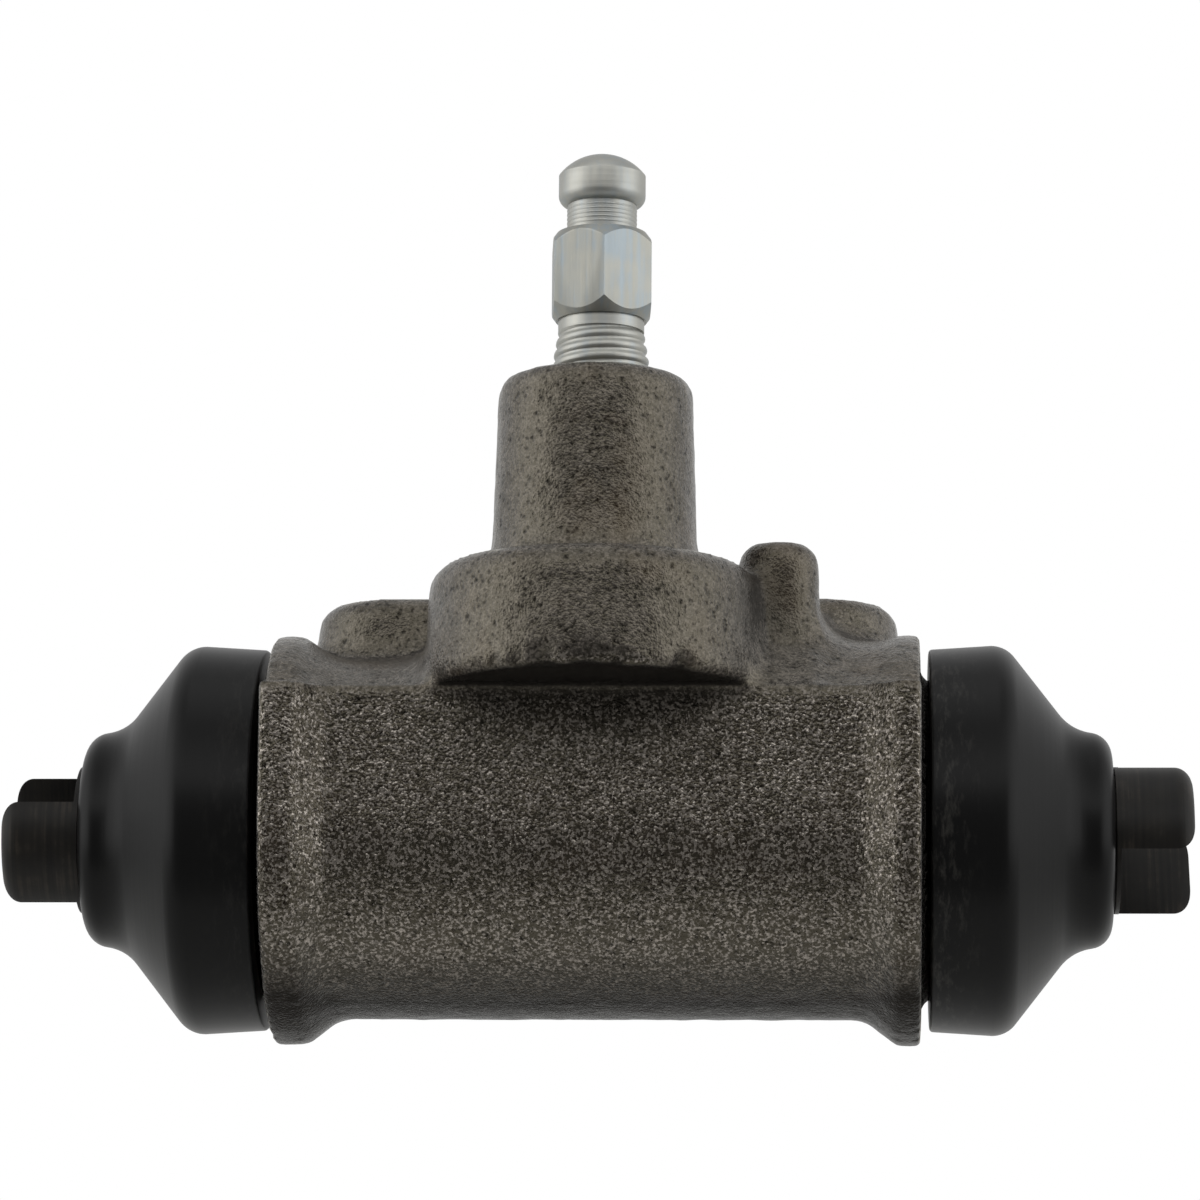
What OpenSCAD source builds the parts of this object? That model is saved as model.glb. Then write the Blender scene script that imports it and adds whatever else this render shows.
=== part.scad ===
// Drum brake wheel cylinder: an iron casting with two slotted pistons, cups, expanders,
// a return spring, rubber boots and a bleeder screw.
// The origin lies midway between the two bolt holes, on the mounting face. The bore runs along X,
// and the bleeder points up. The front, with the pad and the pip, faces -Y.

/* [Barrel] */
// Bore diameter
bore_d = 19.05; // [18:0.05:20.5]
// Length of the casting between its two flange faces
flange_span = 53.1; // [51:0.1:58]
// Diameter of the end flanges
flange_d = 33.8; // [32.4:0.1:35.5]
// Diameter of the barrel between the flanges
barrel_d = 29.6; // [27.5:0.1:30.5]
// Rim width of the left flange
left_rim = 2.6; // [1.5:0.1:4]
// Rim width of the left flange above the ledge
left_upper_rim = 2.2; // [1.5:0.1:4]
// Rim width of the right flange
right_rim = 1.9; // [1.5:0.1:3]
// Length of the slope from a flange down to the barrel
flange_slope = 2.7; // [1.5:0.1:3.2]
// Height of the moulding ledge above the bore axis
ledge_height = 10.5; // [8:0.1:10.8]
// Diameter of the spigot that holds a boot
spigot_d = 26.2; // [25:0.1:27]
// Length of a boot spigot beyond its flange face
spigot_length = 5; // [4.5:0.1:5.5]
// Depth of the boot groove in a spigot
spigot_groove = 0.8; // [0.4:0.1:1.2]

/* [Mounting] */
// Height of the mounting face above the bore axis
mount_height = 20.6; // [20:0.1:23]
// Distance between the two bolt holes
bolt_spacing = 35; // [33.6:0.1:36]
// Distance of the bolt holes behind the bore axis
bolt_setback = 7; // [6:0.1:8]
// Drilled diameter of the tapped bolt holes
bolt_hole_d = 5; // [4.2:0.1:6]
// Depth of the bolt holes
bolt_hole_depth = 9.5; // [7:0.1:10]
// Diameter of a bolt boss at the mounting face
bolt_boss_d = 14; // [12:0.1:15]
// Distance of the cast bolt bosses to the right of the drilled holes' middle
boss_shift = 0.4; // [0:0.1:0.6]
// Edge radius of the bolt bosses
bolt_boss_edge = 2.2; // [1:0.1:3]
// Distance of the inlet port behind the bore axis
inlet_setback = 10; // [9.5:0.1:11]
// Diameter of the inlet boss
inlet_boss_d = 16; // [14:0.1:17]
// Drilled diameter of the tapped inlet port
inlet_hole_d = 9; // [8.4:0.1:10]
// Depth of the inlet port's straight wall
inlet_hole_depth = 8.5; // [6:0.1:9]
// Diameter of the drilled fluid passages
passage_d = 3; // [2:0.1:3.5]

/* [Pad, tower and pip] */
// Diameter of the round pad at the mounting face
pad_d = 27; // [25:0.1:28]
// Distance of the pad and the tower in front of the bore axis
pad_offset = 9.6; // [8.5:0.1:10.4]
// Radius of the pad's upper edge
pad_edge = 2.3; // [0.8:0.1:2.6]
// Diameter of the tower at its top
tower_d = 16; // [14:0.1:17]
// Height of the tower above the mounting face
tower_height = 16.2; // [15.5:0.1:20]
// Draft angle of the cast walls
draft = 1.6; // [0.5:0.1:3]
// Radius of the tower's upper edge
tower_edge = 1.5; // [0.5:0.1:2]
// Diameter of the locating pip at its rounded top
pip_d = 6.6; // [5.5:0.1:7]
// Height of the pip above the mounting face
pip_height = 2.8; // [1.6:0.1:4]
// Distance of the pip to the right of the tower
pip_across = 15; // [14.5:0.1:16]
// Distance of the pip in front of the bore axis
pip_offset = 7; // [6:0.1:8]
// Radius of the cast fillets beside the pad and the pip
cast_fillet = 3; // [2:0.1:3.2]

/* [Bleeder screw] */
// Thread diameter of the bleeder screw
bleeder_d = 8; // [7:0.1:9]
// Distance of the drilled screw hole to the right of the cast tower's middle
bleeder_shift = 0.4; // [0:0.1:0.6]
// Width of the hexagon across its flats
hex_width = 8; // [7:0.1:10]
// Height of the hexagon
hex_height = 7.4; // [6:0.1:9]
// Turn of the hexagon from a corner facing the front
hex_turn = 5.5; // [0:0.5:30]
// Length of thread that stays out of the tower
thread_out = 3.9; // [1:0.1:5]
// Length of thread inside the tower
thread_in = 10; // [7:0.1:11]
// Length of the plain relief under the hexagon
relief_length = 1; // [0.6:0.1:3]
// Diameter of the relief
relief_d = 7.1; // [6.4:0.1:7.4]
// Diameter of the neck above the hexagon
neck_d = 5.75; // [5:0.05:6.3]
// Length of the neck
neck_length = 2.4; // [1:0.1:3]
// Diameter of the nipple head
head_d = 7.2; // [6.6:0.1:8]
// Height of the nipple head
head_height = 4.4; // [4:0.1:5.5]
// Diameter of the hole down the screw
bleed_hole_d = 2.4; // [1.6:0.1:2.8]

/* [Pistons] */
// Distance between the two piston faces
piston_gap = 34; // [32:0.1:36]
// Length of a piston's head in the bore
piston_head = 14; // [12:0.1:14.3]
// Diameter of a piston's stub
stub_d = 12.1; // [11.4:0.1:12.6]
// Length of a stub beyond its boot
stub_out = 6.6; // [5:0.05:9]
// Width of the shoe slot in a stub
slot_width = 8.6; // [7:0.1:9]
// Distance of a slot's floor beyond the boot
slot_floor = 0.55; // [0.3:0.05:1.5]
// Edge radius at the end of a stub
stub_edge = 1.5; // [0.4:0.1:1.8]
// Turn of the left piston's slot
left_slot_turn = 22; // [0:1:45]
// Turn of the right piston's slot
right_slot_turn = -30; // [-45:1:0]

/* [Boots] */
// Outside diameter of a boot at its shoulder
boot_d = 32.1; // [31:0.1:33]
// Outside diameter of a boot at its mouth
boot_mouth_d = 31.5; // [30.2:0.1:31.8]
// Gap between a boot's mouth and the flange
boot_gap = 0.75; // [0.3:0.05:1]
// Length of a boot
boot_length = 15; // [14.6:0.1:16]
// Radius of the shoulder
boot_shoulder = 2.4; // [1.6:0.1:3]
// Slope of the cone, from the bore axis
boot_slope = 52; // [49:1:55]
// Diameter of the nose
boot_nose_d = 17.8; // [17:0.1:18.6]
// Distance from a boot's end at which the cone would meet the nose's diameter
boot_nose_length = 3.1; // [2.8:0.1:3.6]
// Edge radius of the nose
boot_nose_edge = 1.9; // [1.5:0.1:2.6]
// Wall thickness of the cone
boot_wall = 1.6; // [1.2:0.1:1.8]

/* [Cups and spring] */
// Thickness of a cup's base
cup_base = 3.3; // [2.5:0.1:3.6]
// Length of a cup's lip
cup_lip = 4.3; // [3.5:0.1:5]
// Sheet thickness of an expander
expander_sheet = 0.8; // [0.5:0.1:1]
// Mean diameter of the spring's coils
spring_d = 12; // [10.5:0.1:12.4]
// Wire diameter of the spring
spring_wire = 1; // [0.7:0.1:1.2]
// Number of coils, with the two closed ends
spring_turns = 7; // [5:1:9]

/* [Clearances] */
// Radial clearance of a piston in the bore
piston_clearance = 0.025; // [0.01:0.005:0.05]
// Radial clearance of a cup in the bore
cup_clearance = 0.06; // [0.02:0.01:0.1]
// Clearance between parts that seat on each other
seat_gap = 0.05; // [0.02:0.01:0.1]
// Clearance of the rubber boots from the spigots and the stubs
rubber_gap = 0.2; // [0.1:0.05:0.3]
// Radial clearance of the bleeder thread
thread_gap = 0.05; // [0.02:0.01:0.1]

/* [Hidden] */
$fn = 64;

iron_color = "#5b564f";
zinc_color = "#b9bab4";
rubber_color = "#191919";
oxide_color = "#3a332c";
steel_color = "#9a9a98";

// A cut runs past the faces that it opens by this much
past = 1;

// Barrel, spigots and bore
half_span = flange_span / 2;
flange_r = flange_d / 2;
barrel_r = barrel_d / 2;
bore_r = bore_d / 2;
spigot_r = spigot_d / 2;
spigot_end = half_span + spigot_length;
bore_chamfer = 0.8;
groove_start = half_span + 1.2;
groove_width = 2;

// The upper mould half rises to the pad at the left, and to the pip and the flange at the right
right_saddle_r = flange_r - 0.6;
pip_rise_r = right_saddle_r + 1.2;
pad_r = pad_d / 2;
pip_base_r = pip_d / 2 + (mount_height + pip_height - ledge_height) * tan(draft);
left_rise_x = -pad_r + 0.2;
pip_rise_start = pip_across - pip_base_r + 1;
pip_rise_end = pip_across + pip_base_r - 0.2;
pip_fillet_reach = 2;
rise_rear = 3;
// A fillet sinks this far into the face that it runs out on
fillet_sink = 0.1;

// Tower, bosses and pip stand on the casting from the ledge up
boss_rise = mount_height - ledge_height;
// Stock that facing takes off the pad and the bosses
facing = 0.3;
tower_foot_fillet = 1;
pip_edge = 1.7;
pip_total = boss_rise + pip_height;
inlet_boss_edge = 1.2;
drill_point = 118;

// Bleeder screw, measured from the tower's top
tip_r = bleeder_d / 2 - 0.9;
tip_length = 2.5;
tip_end_r = 0.9;
seat_hole_r = tip_r + 0.25;
relief_start = thread_out;
hex_start = relief_start + relief_length;
neck_start = hex_start + hex_height;
head_start = neck_start + neck_length;
head_top = head_start + head_height;
head_dome_r = 4.5;
head_under_edge = 0.9;
hex_chamfer = 1.2;
hex_end_step = 0.25;
cross_hole_d = 1.6;
tip_start = -thread_in - tip_length;
tip_end = tip_start - (tip_r - tip_end_r);
// The pocket below the seat is wider than its passage, which starts inside it
tip_room = 0.6;
pocket_r = passage_d / 2 + 0.6;
passage_lap = 0.3 * passage_d;

// Boots, measured outwards from the bore's middle
boot_start = half_span + boot_gap;
boot_end = boot_start + boot_length;
boot_r = boot_d / 2;
boot_mouth_r = boot_mouth_d / 2;
nose_r = boot_nose_d / 2;
nose_x = boot_end - boot_nose_edge;
// The cone is the line cone_across * x + cone_up * r = cone_reach
cone_across = sin(boot_slope);
cone_up = cos(boot_slope);
cone_reach = cone_across * (boot_end - boot_nose_length) + cone_up * nose_r;
// The fillet between cone and nose touches both the cone and the nose's round edge
nose_fillet = 4;
nose_edge_r = nose_r - boot_nose_edge;
nose_edge_reach = cone_across * nose_x + cone_up * nose_edge_r;
nose_fillet_turn = 90 - boot_slope
    + acos((cone_reach + nose_fillet - nose_edge_reach) / (nose_fillet + boot_nose_edge));
nose_fillet_x = nose_x + (nose_fillet + boot_nose_edge) * cos(nose_fillet_turn);
nose_fillet_r = nose_edge_r + (nose_fillet + boot_nose_edge) * sin(nose_fillet_turn);
shoulder_r = boot_r - boot_shoulder;
shoulder_x = (cone_reach - boot_shoulder - cone_up * shoulder_r) / cone_across;
boot_inner_r = spigot_r + rubber_gap;
bead_r = spigot_r - spigot_groove + rubber_gap;
nose_hollow_r = nose_r - boot_wall;
lip_length = 1.6;
lip_x = boot_end - lip_length;

// Pistons
piston_r = bore_r - piston_clearance;
piston_face = piston_gap / 2;
piston_shoulder = piston_face + piston_head;
piston_chamfer = 0.6;
stub_r = stub_d / 2;
stub_groove = 0.6;
stub_groove_r = stub_r - stub_groove;
stub_groove_start = lip_x - rubber_gap;
stub_groove_end = boot_end + rubber_gap;
stub_end = boot_end + stub_out;
slot_x = boot_end + slot_floor;
lip_r = stub_groove_r + rubber_gap;

// Cups, expanders and spring
cup_r = bore_r - cup_clearance;
cup_back = piston_face - seat_gap;
cup_floor = cup_back - cup_base;
cup_mouth = cup_floor - cup_lip;
cup_hollow_r = cup_r - 1.9;
cup_mouth_r = cup_r - 1.1;
expander_back = cup_floor - seat_gap;
expander_front = expander_back - expander_sheet;
expander_r = cup_hollow_r - 0.2;
expander_hole_r = spring_d / 2 - 2;
expander_flare = 2;
expander_flare_r = expander_r + 0.35;
spring_end = expander_front - seat_gap;
spring_sides = 8;
spring_steps = 20;

// Moves a shape from the bore axis, where it is drawn, to the part's own frame
module at_bore() {
    translate([0, -bolt_setback, -mount_height]) children();
}

// Turns a profile of [radius, distance along the bore] round the bore axis
module turn_on_bore() {
    rotate([0, 90, 0]) rotate_extrude() children();
}

// Half section of a drafted boss: r at its top, h high, with a rounded upper edge
module boss_profile(r, h, edge) {
    polygon([[0, 0], [r + h * tan(draft), 0], [r, h - edge], [r - edge, h - edge], [r - edge, h], [0, h]]);
    translate([r - edge, h - edge]) intersection() {
        circle(edge);
        square(edge);
    }
}

module boss(r, h, edge) {
    rotate_extrude() boss_profile(r, h, edge);
}

// Outline of the whole barrel as [radius, x], with the given rim width of its left flange
function barrel_outline(rim) = [
    [0, -half_span],
    [flange_r, -half_span],
    [flange_r, -half_span + rim],
    [barrel_r, -half_span + rim + flange_slope],
    [barrel_r, half_span - right_rim - flange_slope],
    [flange_r, half_span - right_rim],
    [flange_r, half_span],
    [0, half_span]];

// A block over the whole casting between two heights, from the front as far back as y = rear
module slab(bottom, top, rear) {
    translate([-half_span - past, -flange_d, bottom])
        cube([flange_span + 2 * past, flange_d + rear, top - bottom]);
}

// The lower mould half is round below the bore axis, with upright walls from there to the ledge.
// The upper half is round above the ledge, and so set back from it.
module barrel() {
    intersection() {
        turn_on_bore() polygon(barrel_outline(left_rim));
        slab(-flange_d, 0, flange_d);
    }
    linear_extrude(ledge_height)
        for (side = [0, 1])
            mirror([0, side, 0]) polygon([for (p = barrel_outline(left_rim)) [p[1], p[0]]]);
    intersection() {
        turn_on_bore() polygon(barrel_outline(left_upper_rim));
        slab(ledge_height, flange_d, flange_d);
    }
}

// Section of a cast fillet that rises from [radius, x] at its corner, and runs out to the right,
// or to the left if flipped
module fillet_profile(r, x, flip) {
    translate([bore_r + past, x]) mirror([0, flip]) difference() {
        square([r + cast_fillet - fillet_sink - bore_r - past, cast_fillet]);
        translate([r + cast_fillet - fillet_sink - bore_r - past, cast_fillet]) circle(cast_fillet);
    }
}

// The upper mould half sweeps up to the pad at the left, and to the pip and the flange at the right
module upper_sweeps() {
    intersection() {
        turn_on_bore() {
            fillet_profile(barrel_r, left_rise_x, 1);
            polygon([
                [bore_r + past, pip_rise_start],
                [pip_rise_r, pip_rise_start],
                [pip_rise_r, pip_rise_end],
                [right_saddle_r, pip_rise_end],
                [right_saddle_r, half_span - right_rim - flange_slope / 2],
                [flange_r - fillet_sink, half_span - right_rim],
                [bore_r + past, half_span - right_rim]]);
        }
        slab(ledge_height, flange_d, rise_rear);
    }
    intersection() {
        turn_on_bore() fillet_profile(right_saddle_r, pip_rise_end, 0);
        translate([0, -pip_offset - pip_fillet_reach, ledge_height])
            cube([half_span, pip_offset + pip_fillet_reach + rise_rear, mount_height]);
    }
}

// Spigots at both ends, grooved for the boots' beads
module spigots() {
    for (side = [0, 1])
        mirror([side, 0, 0]) turn_on_bore() polygon([
            [0, half_span - past],
            [spigot_r, half_span - past],
            [spigot_r, groove_start],
            [spigot_r - spigot_groove, groove_start],
            [spigot_r - spigot_groove, groove_start + groove_width],
            [spigot_r, groove_start + groove_width],
            [spigot_r, spigot_end - bore_chamfer],
            [spigot_r - bore_chamfer, spigot_end],
            [0, spigot_end]]);
}

// The round pad stands on the ledge's plane and overhangs the front of the barrel
module pad() {
    translate([0, -pad_offset, ledge_height]) boss(pad_r, boss_rise + facing, pad_edge);
}

// The tower stands on the pad, with a small fillet at its foot
module tower() {
    foot_r = tower_d / 2 + tower_height * tan(draft);
    translate([0, -pad_offset, mount_height - past]) rotate_extrude() {
        boss_profile(tower_d / 2, tower_height + past, tower_edge);
        difference() {
            square([foot_r + tower_foot_fillet, past + tower_foot_fillet - fillet_sink]);
            translate([foot_r + tower_foot_fillet, past + tower_foot_fillet - fillet_sink])
                circle(tower_foot_fillet);
        }
    }
}

// Two bolt bosses at the ends of a bar with the same rounded section, and the inlet boss behind
module bolt_bosses() {
    stock = boss_rise + facing;
    translate([boss_shift, bolt_setback, ledge_height]) {
        for (turn = [0, 180])
            rotate(turn) translate([bolt_spacing / 2, 0, 0])
                rotate(-90) rotate_extrude(angle = 180)
                    boss_profile(bolt_boss_d / 2, stock, bolt_boss_edge);
        rotate([90, 0, 90]) linear_extrude(bolt_spacing, center = true)
            for (side = [0, 1])
                mirror([side, 0]) boss_profile(bolt_boss_d / 2, stock, bolt_boss_edge);
    }
    translate([0, inlet_setback, ledge_height]) boss(inlet_boss_d / 2, stock, inlet_boss_edge);
}

// The pad and the bosses are faced off together to make the mounting face
module faced_bosses() {
    difference() {
        union() {
            pad();
            bolt_bosses();
        }
        slab(mount_height, mount_height + past, flange_d);
    }
}

module pip() {
    translate([pip_across, -pip_offset, ledge_height]) boss(pip_d / 2, pip_total, pip_edge);
}

// The bore with its chamfered mouths
module bore_cut() {
    turn_on_bore() {
        translate([0, -spigot_end - past]) square([bore_r, 2 * (spigot_end + past)]);
        for (side = [0, 1])
            mirror([0, side]) polygon([
                [0, spigot_end + past],
                [bore_r + bore_chamfer + past, spigot_end + past],
                [bore_r, spigot_end - bore_chamfer],
                [0, spigot_end - bore_chamfer]]);
    }
}

// Tapped bolt holes with drill points
module bolt_holes() {
    for (side = [-1, 1])
        translate([side * bolt_spacing / 2, bolt_setback, mount_height]) rotate_extrude()
            polygon([
                [0, past],
                [bolt_hole_d / 2, past],
                [bolt_hole_d / 2, -bolt_hole_depth],
                [0, -bolt_hole_depth - bolt_hole_d / 2 / tan(drill_point / 2)]]);
}

// The inlet port has a cone at its bottom, and a passage drilled from there towards the bore axis
module inlet_port() {
    port_floor = mount_height - inlet_hole_depth;
    translate([0, inlet_setback, mount_height]) rotate_extrude()
        polygon([
            [0, past],
            [inlet_hole_d / 2, past],
            [inlet_hole_d / 2, -inlet_hole_depth],
            [passage_d / 2, -inlet_hole_depth - (inlet_hole_d - passage_d) / 2 / tan(drill_point / 2)],
            [0, -inlet_hole_depth - (inlet_hole_d - passage_d) / 2 / tan(drill_point / 2)]]);
    rotate([-atan2(inlet_setback, port_floor), 0, 0])
        translate([0, 0, bore_r - past])
            cylinder(d = passage_d, h = norm([inlet_setback, port_floor]) - bore_r + past);
}

// The bleeder's tapped hole ends in a conical seat and a pocket for the screw's tip, with a passage from
// there towards the bore axis
module bleeder_hole() {
    seat_drop = seat_hole_r - pocket_r;
    seat_start = tip_start + (seat_hole_r - tip_r) - seat_gap * sqrt(2);
    pocket_floor = tip_end - tip_room;
    passage_start = mount_height + tower_height + pocket_floor;
    translate([bleeder_shift, -pad_offset, mount_height + tower_height]) rotate_extrude()
        polygon([
            [0, past],
            [bleeder_d / 2, past],
            [bleeder_d / 2, -thread_in - seat_gap],
            [seat_hole_r, -thread_in - seat_gap],
            [seat_hole_r, seat_start],
            [pocket_r, seat_start - seat_drop],
            [pocket_r, pocket_floor],
            [0, pocket_floor]]);
    translate([bleeder_shift, 0, 0]) rotate([atan2(pad_offset, passage_start), 0, 0])
        translate([0, 0, bore_r - past])
            cylinder(d = passage_d, h = norm([pad_offset, passage_start]) + passage_lap - bore_r + past);
}

module cylinder_body() {
    color(iron_color) at_bore() difference() {
        union() {
            barrel();
            upper_sweeps();
            spigots();
            faced_bosses();
            tower();
            pip();
        }
        bore_cut();
        bolt_holes();
        inlet_port();
        bleeder_hole();
    }
}

// Hexagon with both ends turned to a cone, which runs on past the corners
module bleeder_hexagon() {
    flat_r = hex_width / 2;
    end_r = flat_r - hex_end_step;
    cone_r = flat_r / cos(30) + past;
    cone_height = hex_chamfer * (cone_r - end_r) / (cone_r - past - end_r);
    intersection() {
        rotate(30 + hex_turn) cylinder(d = hex_width / cos(30), h = hex_height, $fn = 6);
        rotate_extrude() polygon([
            [0, 0],
            [end_r, 0],
            [cone_r, cone_height],
            [cone_r, hex_height - cone_height],
            [end_r, hex_height],
            [0, hex_height]]);
    }
}

// Half section of the nipple head: a domed top, a short rim and a rounded underside
module head_profile() {
    under_z = head_start + head_under_edge;
    intersection() {
        union() {
            translate([0, head_start - past]) square([neck_d / 2, head_height]);
            translate([0, under_z]) square([head_d / 2, head_height]);
            translate([head_d / 2 - head_under_edge, under_z]) circle(head_under_edge);
        }
        union() {
            translate([0, head_top - head_dome_r]) circle(head_dome_r);
            square([head_d, head_top - head_dome_r]);
        }
        square([head_d, head_top]);
    }
}

// The screw is drilled from its head down to a cross hole above the seat
module bleeder_screw() {
    thread_r = bleeder_d / 2 - thread_gap;
    color(zinc_color) at_bore() translate([bleeder_shift, -pad_offset, mount_height + tower_height])
    difference() {
        union() {
            rotate_extrude() polygon([
                [0, tip_end],
                [tip_end_r, tip_end],
                [tip_r, tip_start],
                [tip_r, -thread_in],
                [thread_r, -thread_in],
                [thread_r, relief_start],
                [relief_d / 2, relief_start],
                [relief_d / 2, hex_start],
                [neck_d / 2, hex_start],
                [neck_d / 2, head_start],
                [0, head_start]]);
            translate([0, 0, hex_start]) bleeder_hexagon();
            rotate_extrude() head_profile();
        }
        translate([0, 0, tip_start]) cylinder(d = bleed_hole_d, h = head_top - tip_start + past);
        translate([0, 0, tip_start + cross_hole_d])
            rotate([90, 0, 0]) cylinder(d = cross_hole_d, h = 2 * bleeder_d, center = true);
    }
}

// A piston: a plain head in the bore, and a round-ended stub with a boot groove and a slot for the brake shoe
module piston(slot_turn) {
    color(oxide_color) at_bore() difference() {
        turn_on_bore() {
            polygon([
                [0, piston_face],
                [piston_r - piston_chamfer, piston_face],
                [piston_r, piston_face + piston_chamfer],
                [piston_r, piston_shoulder - piston_chamfer],
                [piston_r - piston_chamfer, piston_shoulder],
                [stub_r, piston_shoulder],
                [stub_r, stub_groove_start],
                [stub_groove_r, stub_groove_start],
                [stub_groove_r, stub_groove_end],
                [stub_r, stub_groove_end],
                [stub_r, stub_end - stub_edge],
                [stub_r - stub_edge, stub_end - stub_edge],
                [stub_r - stub_edge, stub_end],
                [0, stub_end]]);
            translate([stub_r - stub_edge, stub_end - stub_edge]) intersection() {
                circle(stub_edge);
                square(stub_edge);
            }
        }
        rotate([slot_turn, 0, 0]) translate([slot_x, -slot_width / 2, -stub_d])
            cube([stub_end - slot_x + past, slot_width, 2 * stub_d]);
    }
}

module left_piston() {
    mirror([1, 0, 0]) piston(left_slot_turn);
}

module right_piston() {
    piston(right_slot_turn);
}

// A cup: a thick base against the piston and a lip that the fluid presses out
module cup() {
    color(rubber_color) at_bore() turn_on_bore() polygon([
        [0, cup_back],
        [cup_r - piston_chamfer, cup_back],
        [cup_r, cup_back - piston_chamfer],
        [cup_r, cup_mouth],
        [cup_mouth_r, cup_mouth],
        [cup_hollow_r, cup_floor],
        [0, cup_floor]]);
}

module left_cup() {
    mirror([1, 0, 0]) cup();
}

module right_cup() {
    cup();
}

// An expander: a pressed ring that seats the spring and holds the cup's lip out
module cup_expander() {
    color(steel_color) at_bore() turn_on_bore() polygon([
        [expander_hole_r, expander_back],
        [expander_r, expander_back],
        [expander_flare_r, expander_back - expander_flare],
        [expander_flare_r - expander_sheet, expander_back - expander_flare],
        [expander_r - expander_sheet, expander_front],
        [expander_hole_r, expander_front]]);
}

module left_cup_expander() {
    mirror([1, 0, 0]) cup_expander();
}

module right_cup_expander() {
    cup_expander();
}

// Distance along the bore of the wire's centre after a number of turns, with the end turns closed
function coil_x(turn) =
    let (reach = spring_end - spring_wire / 2, closed = spring_wire * 1.02)
    turn < 1 ? -reach + closed * turn
    : turn > spring_turns - 1 ? reach - closed * (spring_turns - turn)
    : -reach + closed + (2 * reach - 2 * closed) * (turn - 1) / (spring_turns - 2);

// One point of the wire's surface: a ring of points stands round the wire at each step
function coil_point(step, side) =
    let (turn = step / spring_steps,
        around = 360 * side / spring_sides,
        r = spring_d / 2 + spring_wire / 2 * cos(around))
    [coil_x(turn) + spring_wire / 2 * sin(around), r * cos(360 * turn), r * sin(360 * turn)];

module return_spring() {
    last = spring_turns * spring_steps;
    points = [for (step = [0 : last], side = [0 : spring_sides - 1]) coil_point(step, side)];
    walls = [
        for (step = [0 : last - 1], side = [0 : spring_sides - 1])
        let (next = (side + 1) % spring_sides, here = step * spring_sides, there = here + spring_sides)
        [here + side, here + next, there + next, there + side]];
    start_cap = [for (side = [spring_sides - 1 : -1 : 0]) side];
    end_cap = [for (side = [0 : spring_sides - 1]) last * spring_sides + side];
    color(steel_color) at_bore()
        polyhedron(points = points, faces = concat(walls, [start_cap, end_cap]));
}

// Outer section of a boot: a skirt, a round shoulder, a cone and a nose that sweeps into it
module boot_outside() {
    cone_top = [shoulder_r + boot_shoulder * cone_up, shoulder_x + boot_shoulder * cone_across];
    cone_foot = [nose_fillet_r - nose_fillet * cone_up, nose_fillet_x - nose_fillet * cone_across];
    nose_edge = [nose_edge_r, nose_x];
    nose_top = nose_edge + boot_nose_edge * [sin(nose_fillet_turn), cos(nose_fillet_turn)];
    polygon([
        [0, boot_start],
        [boot_mouth_r, boot_start],
        [boot_r, shoulder_x],
        [shoulder_r, shoulder_x],
        cone_top,
        cone_foot,
        nose_edge,
        [0, nose_x]]);
    translate([shoulder_r, shoulder_x]) intersection() {
        circle(boot_shoulder);
        square(boot_shoulder);
    }
    difference() {
        polygon([nose_edge, cone_foot, [nose_fillet_r, nose_fillet_x], nose_top]);
        translate([nose_fillet_r, nose_fillet_x]) circle(nose_fillet);
    }
    translate(nose_edge) intersection() {
        circle(boot_nose_edge);
        polygon([[0, 0], 2 * (nose_top - nose_edge), 2 * boot_nose_edge * [1, 1], [0, 2 * boot_nose_edge]]);
    }
    translate([0, nose_x]) square([nose_edge_r, boot_nose_edge]);
}

// Hollow of a boot: the bead's bore, the spigot's room, the cone and the lip round the stub
module boot_inside() {
    inner_reach = cone_reach - boot_wall;
    hollow_x = (inner_reach - cone_up * boot_inner_r) / cone_across;
    nose_hollow_x = (inner_reach - cone_up * nose_hollow_r) / cone_across;
    polygon([
        [0, boot_start - past],
        [boot_inner_r, boot_start - past],
        [boot_inner_r, groove_start + rubber_gap],
        [bead_r, groove_start + rubber_gap],
        [bead_r, groove_start + groove_width - rubber_gap],
        [boot_inner_r, groove_start + groove_width - rubber_gap],
        [boot_inner_r, hollow_x],
        [nose_hollow_r, nose_hollow_x],
        [nose_hollow_r, lip_x],
        [lip_r, lip_x],
        [lip_r, boot_end + past],
        [0, boot_end + past]]);
}

module boot() {
    color(rubber_color) at_bore() turn_on_bore() difference() {
        boot_outside();
        boot_inside();
    }
}

module left_boot() {
    mirror([1, 0, 0]) boot();
}

module right_boot() {
    boot();
}

cylinder_body();
bleeder_screw();
left_piston();
right_piston();
left_cup();
right_cup();
left_cup_expander();
right_cup_expander();
return_spring();
left_boot();
right_boot();
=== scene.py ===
"""Drum brake wheel cylinder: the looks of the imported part, in metres and in the part's own frame."""
import math

import bmesh
import bpy
import numpy as np
from mathutils import Matrix, Vector, noise


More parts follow.
